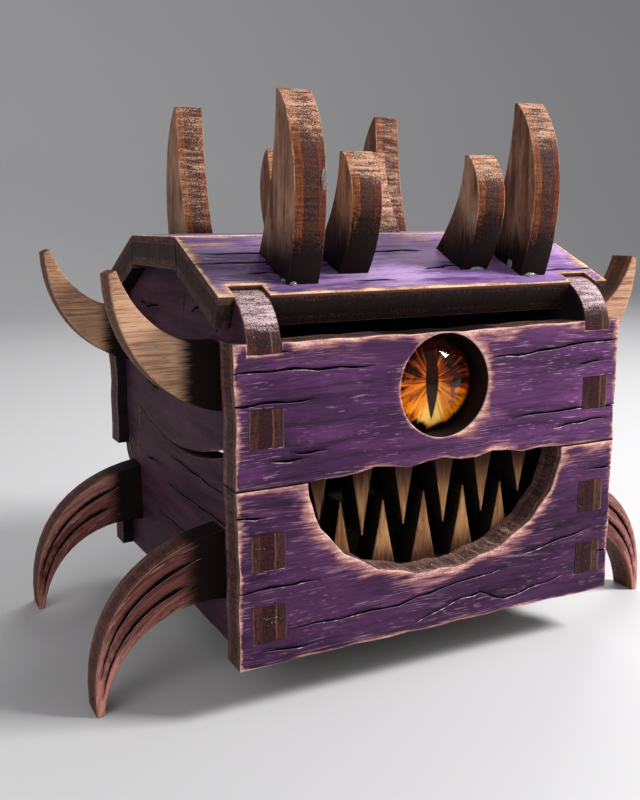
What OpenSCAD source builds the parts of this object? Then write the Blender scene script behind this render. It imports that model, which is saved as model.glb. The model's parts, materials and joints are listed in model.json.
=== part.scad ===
// Small wooden monster chest: a dice box of laser-cut plywood plates with a hinged lid.
// Millimetres, +Z up, front towards -Y. The origin is on the ground, under the middle of the box.
// Plates are first drawn in box coordinates: y from the front face, z from the box's bottom edge.

/* [Box] */
// Thickness of the plywood that every plate is cut from
ply_t = 4; // [3.6:0.1:4.4]
// Width of the front and back panels
box_w = 53.2; // [50:0.1:58]
// Depth over the front and back panels
box_d = 52; // [50:0.5:58]
// How far the front and back panels overhang the side plates
side_inset = 1.6; // [1:0.1:2.5]
// Height of the base's front panel
base_front_h = 20.5; // [19.5:0.1:22]
// Height of the lid's front and back panels above that seam
lid_front_h = 16; // [15:0.1:18]
// Clear height under the box, where only the legs reach
stand_h = 5.8; // [4:0.1:9]
// How high the floor plate lies above the box's bottom edge
floor_lift = 0.5; // [0.2:0.1:1]
// Gap all round a tenon in its slot
tenon_gap = 0.05; // [0.02:0.01:0.1]
// Gap between a loose inner plate and the plates beside it
plate_gap = 0.2; // [0.1:0.05:0.3]
// Depth of the shallow waves along the panels' sawn outlines
wave_depth = 0.3; // [0.1:0.05:0.5]

/* [Tenons] */
// Length of a side plate's tenon along the panel
tenon_h = 4.2; // [3.5:0.1:5]
// Height of the lower base tenons' middle
tenon_low_z = 5; // [4.5:0.1:5.5]
// Height of the upper base tenons' middle
tenon_high_z = 13.4; // [12.5:0.1:14.5]
// Height of the lid tenons' middle
tenon_lid_z = 27.2; // [26:0.1:28]
// Length of the tenons on legs and horns
limb_tenon_h = 4.5; // [3.5:0.1:5]

/* [Mouth and teeth] */
// Width of the mouth at the seam
mouth_w = 36; // [32:0.5:38]
// Depth of the mouth below the seam
mouth_h = 13.2; // [11:0.1:14]
// How far the lid panel's ragged lip rises above the seam
lip_rise = 0.9; // [0.5:0.1:1.3]
// Glue gap between a tooth plate and the panel before it
tooth_gap = 0.3; // [0.2:0.05:0.4]
// Spacing of the teeth
tooth_pitch = 5.85; // [5.4:0.05:5.9]
// Width of a tooth at its root
tooth_w = 3.8; // [3.2:0.1:4.2]
// How far the upper teeth hang below the seam
upper_tooth_drop = 8.5; // [7.5:0.1:9]
// How much shorter the outermost upper teeth are
outer_tooth_less = 2.3; // [1.5:0.1:3]
// How far below the seam the lower teeth end
lower_tooth_below = 4.5; // [4:0.1:5.5]
// Height of the lower teeth's root line above the floor plate
lower_root_h = 2.5; // [1.5:0.1:3.5]
// How far the upper tooth plate's root line lies above the seam
upper_root_rise = 1.6; // [1.4:0.1:2.5]
// Height of the upper tooth plate behind the lid panel
tooth_plate_h = 13.4; // [13:0.1:13.8]

/* [Eye] */
// Diameter of the eye hole in the lid's front panel
eye_hole_d = 12.4; // [12.2:0.1:13]
// Diameter of the domed glass eye
eye_glass_d = 12; // [11.4:0.1:12]
// Height of the eye's middle above the seam
eye_rise = 9.5; // [9:0.1:9.8]
// Height of the glass dome, flat back to top
eye_glass_h = 3.8; // [3:0.1:4]
// Height of the straight rim under the dome
eye_rim_h = 0.6; // [0.4:0.1:1]
// Thickness of the iris disc behind the glass
iris_t = 0.2; // [0.15:0.05:0.3]

/* [Roof] */
// How far the roof's ends stand past the front panels' ends
roof_over = 0.3; // [0:0.1:1]
// Distance of the roof's front edge from the box's front face
eave_in = 3; // [2.5:0.1:3.5]
// Height of the roof's front edge above the box's bottom
eave_z = 41.3; // [40.9:0.1:42.5]
// Distance of the flat crown's front edge from the box's front face
crown_in = 16.9; // [16:0.1:18]
// Height of the crown's top above the box's bottom
crown_z = 47.4; // [47:0.1:48.2]
// Gap between the crown panel and a slope panel
roof_gap = 0.3; // [0.2:0.1:0.6]
// Radius of the side plates' bent front and back corners
strap_r = 6.5; // [6.2:0.1:7]
// Height where those corners leave the front panel
strap_z = 35.3; // [34.8:0.1:35.8]
// How deep the roof panels are notched for those corners
strap_notch = 2.2; // [1.8:0.1:2.8]

/* [Side seam] */
// Distance of the base side plate's pointed corners from the panels' outer faces
tip_in = 7.8; // [7.6:0.1:8.4]
// Distance of its back pointed corner from the front face
tip_back = 40.6; // [40.2:0.1:41]
// Height of the pointed corners above the seam
tip_rise = 2.1; // [1.8:0.1:2.6]
// Lowest point of the side seam, below the front seam
seam_dip = 0.4; // [0.2:0.1:1]
// Gap between the lid's and the base's side plates
seam_gap = 0.3; // [0.2:0.05:0.5]
// How far the seam's gap widens towards the front
lens_gap = 0.6; // [0.4:0.1:1.1]
// Gap in front of the front pointed corner
tip_gap = 0.8; // [0.7:0.1:1.2]

/* [Hinge] */
// Distance of the hinge line from the back panels' outer face
hinge_in = 5.4; // [5.2:0.1:5.6]
// Height of the hinge line above the box's bottom
hinge_z = 16; // [15.7:0.1:16.3]
// Diameter of the hinge pins
pin_d = 2.5; // [2:0.1:3]
// Clearance round a hinge pin in the lid's ear, on the radius
pin_run = 0.06; // [0.03:0.01:0.09]
// Clearance round a hinge pin in its glued hole, on the radius
pin_glue = 0.02; // [0.01:0.01:0.03]
// Radius of the lid's hinge ears
ear_r = 3.3; // [3:0.1:3.4]
// Gap round the ears and round what swings about the pins
swing_gap = 0.35; // [0.3:0.05:0.5]
// Radius of the rounded head of a hinge lug
lug_r = 3; // [2.8:0.1:3]
// Length of a hinge lug's foot on the floor plate
lug_foot = 8; // [6:0.5:10]
// How far a pin stops short of the lid side plate's outer face
pin_short = 0.2; // [0.1:0.1:0.5]

/* [Legs] */
// Distance of the front legs' and side horns' middle plane from the box's front face
limb_in = 10; // [9:0.1:11]
// Distance of the back ones' middle plane from the box's back face
limb_back_in = 7.9; // [7.8:0.1:9]
// How far a leg reaches out from its side plate
leg_reach = 15.8; // [13:0.1:18]
// Height of a leg's root
leg_root_h = 8.4; // [7:0.1:9]
// Height of the root's lower end above the box's bottom
leg_root_z = 5.5; // [4.5:0.1:6]
// Width of the flat end of a leg
foot_w = 0.8; // [0.7:0.1:1.6]

/* [Side horns] */
// How far a side horn reaches out from its side plate
horn_reach = 12.1; // [10:0.1:14]
// Height of a side horn's root
horn_root_h = 7.9; // [7:0.1:8.5]
// Height of the root's lower end above the box's bottom
horn_root_z = 27.9; // [27:0.1:28.5]
// How far the tip rises above the root's upper end
horn_rise = 8.2; // [6:0.1:10]
// How much higher than the front ones the back side horns sit
horn_back_up = 1.4; // [0:0.1:1.8]
// Width of the blunt tip
horn_tip_w = 0.8; // [0.6:0.1:1.4]

/* [Top horns] */
// Distance of the tall horns' middle from the box's middle
tall_x = 16.2; // [15.5:0.1:18]
// Distance of the front tall horns' base from the front face
tall_in = 4.8; // [4.6:0.1:5.2]
// Distance of the back tall horns' base from the back face
tall_back_in = 6.8; // [5.8:0.1:7]
// Length of a tall horn's base
tall_base = 7.6; // [7:0.1:8]
// Height of a tall horn
tall_h = 21.1; // [18:0.1:24]
// How far a tall horn's outer edge bulges
tall_belly = 3.4; // [2.4:0.1:4]
// How far a front tall horn's tip leans inwards
tall_lean = 1.6; // [1:0.1:2.5]
// How far a back tall horn's tip leans inwards
tall_back_lean = 3.4; // [2.5:0.1:4]
// How far a back tall horn's outer edge bulges
tall_back_belly = 2.6; // [2:0.1:3.4]
// Height of a back tall horn
tall_back_h = 21.9; // [18:0.1:24]
// Distance of the front small horns' middle from the box's middle
small_x = 8.6; // [7.5:0.1:9.5]
// Distance of the front small horns' base from the front face
small_in = 6.8; // [6.5:0.1:7.2]
// Length of a small horn's base
small_base = 5.7; // [5.2:0.1:6]
// Height of a small horn
small_h = 13.8; // [11:0.1:16]
// How far a small horn's front edge bulges
small_belly = 4; // [3:0.1:4.4]
// How far a small horn's tip leans back (less than zero: forwards)
small_lean = -0.8; // [-1.2:0.1:0]
// Distance of the back small horns' middle from the box's middle
small_back_x = 7.2; // [6:0.1:8]
// Distance of the back small horns' base from the back face
small_back_in = 21; // [19:0.1:22]
// Height of a back small horn
small_back_h = 11.2; // [9:0.1:13]
// How far a back small horn's outer edge bulges
small_back_belly = 2.4; // [1.8:0.1:3]
// How far a back small horn's tip leans inwards
small_back_lean = 0.6; // [0:0.1:1.2]
// Width of a top horn's blunt tip
top_tip_w = 0.6; // [0.5:0.1:1]
// Length of a top horn's tenon in the roof
top_tenon = 3; // [2.5:0.1:3.4]

/* [Engraving] */
// Depth of the engraved cracks
crack_depth = 0.4; // [0.2:0.05:0.6]
// Greatest width of an engraved crack
crack_w = 0.36; // [0.3:0.02:0.6]
// How far a crack wanders off its line
crack_wander = 0.1; // [0.04:0.02:0.3]
// Width of the long grooves along the legs
groove_w = 0.5; // [0.3:0.05:0.7]

/* [Hidden] */

LEFT = -1;
RIGHT = 1;
purple = [0.34, 0.20, 0.50];
dark_purple = [0.22, 0.15, 0.30];
brown = [0.42, 0.28, 0.17];
bone = [0.78, 0.62, 0.42];

half_w = box_w / 2;
roof_w = box_w + 2 * roof_over;
side_out = half_w - side_inset;             // outer face of a side plate
side_in = side_out - ply_t;                 // inner face of a side plate
back_in = box_d - ply_t;                    // inner face of a back panel
lid_top_z = base_front_h + lid_front_h;     // top edge of the lid's panels
floor_top_z = floor_lift + ply_t;
hinge_y = box_d - hinge_in;
back_reach = hinge_in - ply_t;              // hinge line to the back panels' inner face
swing_r = hinge_in + swing_gap;             // clear of the lid back panel's lower outer corner
ear_gap_r = ear_r + swing_gap;
lid_back_z = hinge_z;                       // lower edge of the lid's back panel
base_back_h = hinge_z - sqrt(swing_r * swing_r - back_reach * back_reach);
tooth_y = ply_t + tooth_gap;                // front face of the tooth plates
slope_a = atan((crown_z - eave_z) / (crown_in - eave_in));
slope_t = ply_t / cos(slope_a);             // a slope panel's thickness, measured upright
curve_n = 14;                               // straight pieces in each curved edge
cut = 1;                                    // how far a cutting shape passes a face
wave_step = 2.4;                            // spacing of the points along a waved edge

// Height of the roof's front slope at a distance y from the front face
function slope_z(y) = eave_z + (y - eave_in) * tan(slope_a);

// Points of a cubic Bezier curve
function bezier(p0, p1, p2, p3, n = curve_n) =
    [for (i = [0 : n]) let (t = i / n, s = 1 - t)
        s * s * s * p0 + 3 * s * s * t * p1 + 3 * s * t * t * p2 + t * t * t * p3];

// Points of an arc about a centre, from angle a to angle b
function arc(centre, r, a, b, n = curve_n) =
    [for (i = [0 : n]) centre + r * [cos(a + (b - a) * i / n), sin(a + (b - a) * i / n)]];

function backwards(p) = [for (i = [len(p) - 1 : -1 : 0]) p[i]];

// An edge from p to q, without q, that waves to the left of its direction
function waved(p, q, seed) =
    let (length = norm(q - p), n = max(2, round(length / wave_step)),
         side = [p[1] - q[1], q[0] - p[0]] / length)
    [for (i = [0 : n - 1]) let (s = i / n, a = s * length * 50 + seed * 77)
        p + s * (q - p) + side * wave_depth * sin(180 * s) ^ 0.5
            * (0.5 + 0.3 * sin(a) + 0.2 * sin(2.7 * a + seed * 40))];

// A line drawn finer, wandering off its course, that tapers to a point at both ends
function fine(p, seed, per = 4) =
    [for (i = [0 : (len(p) - 1) * per])
        let (k = min(floor(i / per), len(p) - 2), s = i / per - k,
             d = p[k + 1] - p[k], across = [-d[1], d[0]] / norm(d))
        p[k] + s * d + across * crack_wander * sin(i * 97 + seed * 61)];
function crack_points(p, seed) =
    let (q = fine(p, seed), n = len(q) - 1)
    concat([for (i = [0 : n]) q[i] + [0, 1] * crack_half(i, n, seed)],
           [for (i = [n - 1 : -1 : 1]) q[i] - [0, 1] * crack_half(i, n, seed)]);
function crack_half(i, n, seed) =
    (i == 0 || i == n) ? 0
    : crack_w / 2 * (0.55 + 0.45 * sin(180 * i / n)) * (0.8 + 0.2 * sin(i * 131 + seed * 17));

// Engraved cracks, [distance from the plate's left edge, height] point by point.
// Those that begin at less than zero run off the edge.
lid_front_left_cracks = [
    [[-cut, 12.8], [5.7, 13], [11.2, 12.7], [16.9, 12.6]],
    [[-cut, 9.2], [3.1, 9.5], [9.4, 9.4]],
    [[3.7, 2.9], [9, 3]],
    [[6.4, 3.7], [11.2, 3.5]],
    [[1.5, 15], [7, 14.8]]];
lid_front_right_cracks = [
    [[-cut, 13.5], [8, 13.1], [14.4, 12.5], [20.6, 12.3]],
    [[-cut, 4.8], [9.3, 4.9], [16.8, 4.7]],
    [[1.5, 3.3], [6, 3.1], [10.3, 2.7]],
    [[2.5, 10.8], [6.5, 10.6]]];
base_front_left_cracks = [
    [[-cut, 9.1], [5.5, 9.2], [9.9, 9.1]],
    [[6, 3.9], [12.4, 3.9], [20.5, 4], [26.2, 4.9], [36.5, 5.9]],
    [[-cut, 17.6], [3.2, 17.4]],
    [[2.4, 1.8], [9, 1.5]]];
base_front_right_cracks = [
    [[3.3, 8.9], [8, 8.3], [14.8, 7.1]],
    [[7.2, 3.2], [13, 2.4], [17, 1.7], [20.9, 3.3], [24.7, 2.9], [30.5, 1.1]],
    [[-cut, 17.2], [4.4, 16.9]],
    [[-cut, 5.6], [4.6, 5.4]]];
// On the slope panels, [distance from the panel's left end, distance up the slope]
slope_cracks = [
    [[-cut, 7.8], [5, 7.7], [12, 7.9], [17, 7.6]],
    [[1.5, 10.2], [9, 10.1], [13.5, 10.3]],
    [[5, 5], [10.5, 5.2]],
    [[23, 9.6], [27, 10], [31, 9.8]],
    [[28.5, 4.6], [32, 5.4], [36, 5.3]],
    [[39, 11.2], [46, 11], [54.8, 11.3]],
    [[44, 3.2], [49.5, 3.4], [54.8, 3.3]],
    [[17.5, 2.4], [23, 2.2]]];
// On the crown panel, [distance from its left end, distance back from its front edge]
crown_cracks = [
    [[-cut, 2.2], [8, 2], [17, 2.4], [25, 2.1]],
    [[20, 5.6], [28, 5.9], [38, 5.5], [46, 5.7]],
    [[-cut, 9.4], [7, 9.1], [14, 9.5]],
    [[30, 11.9], [41, 12.2], [54.8, 11.8]],
    [[9, 14.6], [19, 14.3], [27, 14.7]]];
// On the side plates, [distance from the front face, height above the box's bottom]
lid_side_cracks = [
    [[9.6, 39.6], [12.4, 40.6], [15, 39.2], [17.4, 38.4]],
    [[19.2, 40.4], [20.4, 38.2]],
    [[8, 36.4], [10.2, 37.8]],
    [[14, 33.6], [22, 33.2], [29, 33.7]],
    [[26, 27.2], [33, 26.8], [37, 27.3]],
    [[30, 38.4], [35, 37.7], [38.5, 38.2]]];
base_side_cracks = [
    [[7.5, 18], [15, 18.1], [22, 18.3], [27.5, 18.5]],
    [[5, 14.3], [12, 14.4], [20, 14.2], [30, 14.1]],
    [[21, 9.4], [29, 9.1], [36, 9.5]],
    [[14.5, 4.6], [23, 4.3], [30, 4.7]],
    [[33, 16.2], [38, 15.9]]];

// Moves a child from box coordinates to its place in the part
module in_place() translate([0, -box_d / 2, stand_h]) children();

// Stands a plate drawn as [x, z] up, front face at y = 0, and as thick as the ply
module upright(t = ply_t) translate([0, t, 0]) rotate([90, 0, 0]) linear_extrude(t) children();

// Stands a plate drawn as [y, z] between x = from and x = from + t
module sideways(from, t = ply_t) translate([from, 0, 0]) rotate([90, 0, 90]) linear_extrude(t) children();

// The cutting shapes of a list of cracks, drawn from z = -depth up past z = 0
module cracks(list, seed, depth = crack_depth)
    for (i = [0 : len(list) - 1])
        translate([0, 0, -depth]) linear_extrude(depth + cut) polygon(crack_points(list[i], seed + i));

// Cracks in the front (outer) face of an upright panel of width w, at height z0
module front_cracks(left, right, w, z0, seed) translate([0, 0, z0]) rotate([90, 0, 0]) {
    translate([-w / 2, 0, 0]) cracks(left, seed);
    translate([w / 2, 0, 0]) mirror([1, 0, 0]) cracks(right, seed + 9);
}

// The four or two slots of the side plates' tenons, at the heights given
module tenon_slots(heights)
    for (s = [LEFT, RIGHT], z = heights)
        translate([s * (side_in + ply_t / 2), z])
            square([ply_t + 2 * tenon_gap, tenon_h + 2 * tenon_gap], center = true);

// Outline of a front or back panel, from height z0 to z1, with waved ends and one free long edge
function panel_points(z0, z1, seed, wave_top, wave_bottom) =
    concat(wave_bottom ? waved([-half_w, z0], [half_w, z0], seed) : [[-half_w, z0]],
           waved([half_w, z0], [half_w, z1], seed + 1),
           wave_top ? waved([half_w, z1], [-half_w, z1], seed + 2) : [[half_w, z1]],
           waved([-half_w, z1], [-half_w, z0], seed + 3));

mouth_points = concat([[mouth_w / 2, base_front_h + cut]],
    [for (i = [0 : 30]) let (a = -180 * i / 30, rough = 0.22 * sin(i * 113))
        [mouth_w / 2 * cos(a) * (1 + rough / 40), base_front_h + (mouth_h + rough) * sin(a)]],
    [[-mouth_w / 2, base_front_h + cut]]);

// The lid panel's ragged lip over the mouth
lip_w = mouth_w + 1.6;
lip_n = 16;
lip_points = concat([[-lip_w / 2, base_front_h - cut]],
    [for (i = [0 : lip_n]) let (s = i / lip_n)
        [lip_w * (s - 0.5),
         base_front_h + lip_rise * (0.62 + 0.38 * sin(i * 101 + 30)) * min(1, 6 * s, 6 - 6 * s)]],
    [[lip_w / 2, base_front_h - cut]]);

module base_front() color(purple) in_place() difference() {
    upright() difference() {
        polygon(panel_points(0, base_front_h, 1, false, true));
        polygon(mouth_points);
        tenon_slots([tenon_low_z, tenon_high_z]);
    }
    front_cracks(base_front_left_cracks, base_front_right_cracks, box_w, 0, 3);
}

module base_back() color(purple) in_place() difference() {
    translate([0, back_in, 0]) upright() difference() {
        polygon(panel_points(0, base_back_h, 4, false, true));
        tenon_slots([tenon_low_z]);
    }
    translate([0, box_d, 0]) mirror([0, 1, 0])
        front_cracks([[[-cut, 6.2], [8, 6], [15, 6.3]], [[12, 2.6], [24, 2.9], [33, 2.5]]],
                     [[[4, 3.8], [12, 4.1]], [[10, 6.6], [19, 6.3], [25, 6.6]]], box_w, 0, 21);
}

module lid_front() color(purple) in_place() difference() {
    upright() difference() {
        polygon(panel_points(base_front_h, lid_top_z, 7, true, false));
        polygon(lip_points);
        tenon_slots([tenon_lid_z]);
        strap_notches();
    }
    translate([0, -cut, base_front_h + eye_rise]) rotate([-90, 0, 0])
        cylinder(h = ply_t + 2 * cut, d = eye_hole_d, $fn = 96);
    front_cracks(lid_front_left_cracks, lid_front_right_cracks, box_w, base_front_h, 11);
}

module lid_back() color(purple) in_place() difference() {
    translate([0, back_in, 0]) upright() difference() {
        polygon(panel_points(lid_back_z, lid_top_z, 10, true, true));
        tenon_slots([tenon_lid_z]);
        strap_notches();
        for (s = [LEFT, RIGHT])
            translate([s * (side_in - plate_gap - ply_t / 2), lid_back_z])
                square([ply_t + 2 * swing_gap, 2 * (lug_r + swing_gap)], center = true);
    }
    translate([0, box_d, 0]) mirror([0, 1, 0])
        front_cracks([[[-cut, 16.5], [8, 16.2], [19, 16.6], [28, 16.4]],
                      [[7, 11.2], [16, 11.5], [22, 11.1]], [[-cut, 5.4], [9, 5.6], [17, 5.2]]],
                     [[[-cut, 12.6], [9, 12.9], [17, 12.5]], [[3, 8.2], [12, 8], [21, 8.4], [30, 8.1]],
                      [[-cut, 3.2], [8, 3]]], box_w, lid_back_z, 31);
}

// Notches in the top edge of the lid's panels for the side plates' bent corners
module strap_notches()
    for (s = [LEFT, RIGHT])
        translate([s * (side_in + ply_t / 2) - ply_t / 2 - tenon_gap, strap_z - tenon_gap])
            square([ply_t + 2 * tenon_gap, lid_top_z - strap_z + cut]);

// A tenon on an upright edge of a side plate, from y0 to y1
module edge_tenon(y0, y1, z) translate([y0, z - tenon_h / 2]) square([y1 - y0, tenon_h]);

// The base side plate's upper edge, from its front point to its back point
seam_mid = (tip_in + tip_back) / 2;
seam_half = (tip_back - tip_in) / 2;
seam_sag = tip_rise + seam_dip;
function seam_z(y) = base_front_h - seam_dip + seam_sag * pow((y - seam_mid) / seam_half, 2);
seam_n = 22;
base_seam = [for (i = [0 : seam_n]) let (y = tip_in + (tip_back - tip_in) * i / seam_n) [y, seam_z(y)]];
// The lid's lower edge follows it a little higher, with a gap that widens towards the front
lens_from = tip_in - tip_gap;
lens_to = seam_mid + seam_half * 0.15;
lid_seam = [for (i = [0 : seam_n])
    let (y = lens_from + (tip_back + swing_gap - lens_from) * i / seam_n,
         s = (y - lens_from) / (lens_to - lens_from))
    [y, seam_z(y) + seam_gap + (s < 1 ? lens_gap * cos(90 * s) : 0)]];

module base_side(s) color(dark_purple) in_place() difference() {
    sideways(s == LEFT ? -side_out : side_in) difference() {
        union() {
            polygon(concat(
                waved([ply_t, 0], [back_in, 0], 15),
                [[back_in, 0]],
                arc([hinge_y, hinge_z], swing_r,
                    -acos(back_reach / swing_r), -90 - asin(swing_gap / swing_r), 8),
                arc([hinge_y, hinge_z], ear_gap_r, -90 - asin(swing_gap / ear_gap_r), -180),
                backwards(base_seam),
                [[tip_in, base_front_h], [ply_t, base_front_h]]));
            edge_tenon(0, ply_t + cut, tenon_low_z);
            edge_tenon(0, ply_t + cut, tenon_high_z);
            edge_tenon(back_in - cut, box_d, tenon_low_z);
        }
        limb_slots(leg_root_z + leg_root_h / 2, 0);
    }
    side_cracks(s, base_side_cracks, 41);
}

// Slots for the tenons of two legs or two side horns, the back one higher by back_up
module limb_slots(z, back_up)
    for (q = [[limb_in, z], [box_d - limb_back_in, z + back_up]])
        translate(q) square([ply_t + 2 * tenon_gap, limb_tenon_h + 2 * tenon_gap], center = true);

// Cracks in the outer face of a left or right side plate
module side_cracks(s, list, seed)
    translate([s * side_out, 0, 0]) mirror([s == LEFT ? 1 : 0, 0, 0]) rotate([90, 0, 90]) cracks(list, seed);

strap_c = [strap_r + tenon_gap, strap_z];
strap_back = eave_in + strap_notch;         // where a bent corner ends in the roof
strap_end_a = acos((strap_r + tenon_gap - strap_back) / strap_r);
// The upper edge of the lid's side plate, from the front panel's top to the middle of the crown
lid_side_top = concat(
    [[ply_t, strap_z], [tenon_gap, strap_z]],
    arc(strap_c, strap_r, 180, 180 - strap_end_a, 10),
    [[strap_back + slope_t * sin(slope_a) * cos(slope_a) + tenon_gap,
      slope_z(strap_back) - ply_t * cos(slope_a)],
     [crown_in - roof_gap, slope_z(crown_in - roof_gap) - slope_t],
     [crown_in - roof_gap, crown_z - ply_t]]);

module lid_side(s) color(dark_purple) in_place() difference() {
    sideways(s == LEFT ? -side_out : side_in) difference() {
        union() {
            polygon(concat(
                [[ply_t, base_front_h], [lens_from, base_front_h]],
                lid_seam,
                arc([hinge_y, hinge_z], ear_r, 180, 360),
                [[back_in, lid_back_z]],
                [for (q = lid_side_top) [box_d - q[0], q[1]]],
                backwards(lid_side_top)));
            edge_tenon(0, ply_t + cut, tenon_lid_z);
            edge_tenon(back_in - cut, box_d, tenon_lid_z);
        }
        limb_slots(horn_root_z + horn_root_h / 2, horn_back_up);
    }
    translate([0, hinge_y, hinge_z]) rotate([0, 90, 0])
        cylinder(h = box_w, r = pin_d / 2 + pin_run, center = true, $fn = 48);
    side_cracks(s, lid_side_cracks, 51);
}

module base_floor() color(brown) in_place()
    translate([-side_in + plate_gap, ply_t + plate_gap, floor_lift])
        cube([2 * (side_in - plate_gap), back_in - ply_t - 2 * plate_gap, ply_t]);

// One curved tooth of height h (less than zero: it hangs), its root on the line z = 0
module tooth(x, h) translate([x, 0])
    polygon(concat(tooth_side(sign(h), h), backwards(tooth_side(-sign(h), h))));
function tooth_side(s, h) =
    bezier([s * tooth_w / 2, -0.2 * sign(h)], [s * (tooth_w / 2 - 0.7), h * 0.3],
           [s * tooth_w * 0.14, h * 0.65], [s * 0.06, h], 7);

tooth_plate_w = 2 * (side_in - plate_gap);
lower_root_z = floor_top_z + lower_root_h;
lower_tooth_rise = base_front_h - lower_tooth_below - lower_root_z;
upper_root_z = base_front_h + upper_root_rise;

module lower_teeth() color(bone) in_place() translate([0, tooth_y, 0]) upright() {
    translate([-tooth_plate_w / 2, floor_top_z])
        square([tooth_plate_w, lower_root_z - floor_top_z]);
    for (i = [-2 : 2])
        translate([0, lower_root_z]) tooth(i * tooth_pitch, lower_tooth_rise + 0.3 * sin(i * 140 + 20));
}

module upper_teeth() color(bone) in_place() translate([0, tooth_y, 0]) upright() {
    translate([-tooth_plate_w / 2, upper_root_z]) square([tooth_plate_w, tooth_plate_h]);
    for (i = [-2.5 : 2.5])
        translate([0, upper_root_z])
            tooth(i * tooth_pitch, (abs(i) > 2 ? outer_tooth_less : 0)
                  - upper_root_rise - upper_tooth_drop - 0.3 * sin(i * 200));
}

// A turned shape about the eye's middle, from the flat back at y = y0 forwards
module about_eye(y0) translate([0, y0, base_front_h + eye_rise]) rotate([90, 0, 0]) children();

eye_r = eye_glass_d / 2;
dome_h = eye_glass_h - eye_rim_h;
dome_r = (eye_r * eye_r + dome_h * dome_h) / (2 * dome_h);

module eye_glass() color([0.9, 0.55, 0.15, 0.6]) in_place() about_eye(tooth_y - iris_t)
    rotate_extrude($fn = 96) polygon(concat([[0, 0], [eye_r, 0]],
        [for (i = [0 : 16]) let (a = asin(eye_r / dome_r) * (1 - i / 16))
            [dome_r * sin(a), eye_glass_h - dome_r + dome_r * cos(a)]]));

module eye_iris() color([0.85, 0.4, 0.1]) in_place() about_eye(tooth_y)
    cylinder(h = iris_t, d = eye_glass_d, $fn = 96);

// Hinge lug inside the base: a plate on the floor with a round head about the pin
module hinge_lug(s) color(brown) in_place() difference() {
    sideways(s == LEFT ? -side_in + plate_gap : side_in - ply_t - plate_gap)
        polygon(concat(
            [[hinge_y - lug_foot, floor_top_z], [hinge_y - swing_gap, floor_top_z],
             [hinge_y - swing_gap, hinge_z - lug_r]],
            arc([hinge_y, hinge_z], lug_r, -90, 150),
            [[hinge_y - lug_foot, floor_top_z + ply_t]]));
    translate([0, hinge_y, hinge_z]) rotate([0, 90, 0])
        cylinder(h = box_w, r = pin_d / 2 + pin_glue, center = true, $fn = 48);
}

module hinge_pin(s) color(bone) in_place()
    translate([s == LEFT ? -side_out + pin_short : side_in - ply_t - plate_gap, hinge_y, hinge_z])
        rotate([0, 90, 0]) cylinder(h = 2 * ply_t + plate_gap - pin_short, d = pin_d, $fn = 48);

// Edges of a leg, drawn as [distance out, height]
leg_top = leg_root_z + leg_root_h;
leg_drop = leg_top + stand_h;
leg_under = leg_root_z + stand_h;
leg_inner = leg_reach - foot_w;
leg_upper_edge = bezier([0, leg_top], [0.55 * leg_reach, leg_top - 0.066 * leg_drop],
                        [1.055 * leg_reach, leg_top - 0.35 * leg_drop], [leg_reach, -stand_h]);
leg_lower_edge = bezier([0, leg_root_z], [0.45 * leg_inner, leg_root_z + 0.07 * leg_under],
                        [0.91 * leg_inner, leg_root_z - 0.24 * leg_under], [leg_inner, -stand_h]);

// A groove between a leg's edges, a share f of the way across, that tapers at both ends
function groove_points(f, from, to) =
    concat([for (i = [from : to]) across_leg(i, f) + [0, groove_half(i, from, to)]],
           [for (i = [to - 1 : -1 : from + 1]) across_leg(i, f) - [0, groove_half(i, from, to)]]);
function across_leg(i, f) = leg_upper_edge[i] * (1 - f) + leg_lower_edge[i] * f;
function groove_half(i, from, to) = (i == from || i == to) ? 0 : groove_w / 2 + 0.06 * sin(i * 100);

// Puts a limb, drawn as [distance out, height], on the left or right side, middle plane at y
module limb(s, y) translate([s * side_out, y, 0]) mirror([s == LEFT ? 1 : 0, 0, 0])
    translate([0, ply_t / 2, 0]) rotate([90, 0, 0]) children();

module leg(s, y) color(brown) in_place() limb(s, y) difference() {
    linear_extrude(ply_t) {
        polygon(concat(backwards(leg_upper_edge), leg_lower_edge));
        limb_tenon(leg_root_z + leg_root_h / 2);
    }
    for (face = [0, 1], g = [[0.3, 2, 12], [0.64, 3, 13]])
        translate([0, 0, face == 0 ? -cut : ply_t - crack_depth])
            linear_extrude(cut + crack_depth) polygon(groove_points(g[0], g[1], g[2]));
}

module limb_tenon(z) translate([-ply_t, z - limb_tenon_h / 2]) square([ply_t + 0.5, limb_tenon_h]);

horn_top = horn_root_z + horn_root_h;
horn_lift = horn_top + horn_rise - horn_root_z;
horn_upper_edge = bezier([0, horn_top], [0.45 * horn_reach, horn_top - 0.05 * horn_rise],
                         [0.79 * horn_reach, horn_top + 0.36 * horn_rise],
                         [horn_reach - horn_tip_w, horn_top + horn_rise]);
horn_lower_edge = bezier([0, horn_root_z], [0.45 * horn_reach, horn_root_z + 0.045 * horn_lift],
                         [horn_reach, horn_root_z + 0.4 * horn_lift],
                         [horn_reach, horn_top + horn_rise - horn_tip_w / 2]);

module side_horn(s, y, up = 0) color(brown) in_place() translate([0, 0, up]) limb(s, y)
    linear_extrude(ply_t) {
        polygon(concat(horn_lower_edge, backwards(horn_upper_edge)));
        limb_tenon(horn_root_z + horn_root_h / 2);
    }

// The point q = [along, off] measured from p along a line that rises at angle a, and square to it
function from_line(p, a, q) =
    p + [q[0] * cos(a) - q[1] * sin(a), q[0] * sin(a) + q[1] * cos(a)];
function on_slope(y) = [y, slope_z(y)];

// Corners of a rectangle from f to t along such a line, and from the depth d below it up to h above
function strip(p, a, f, t, d, h) =
    [for (q = [[f, -d], [t, -d], [t, h], [f, h]]) from_line(p, a, q)];

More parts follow.
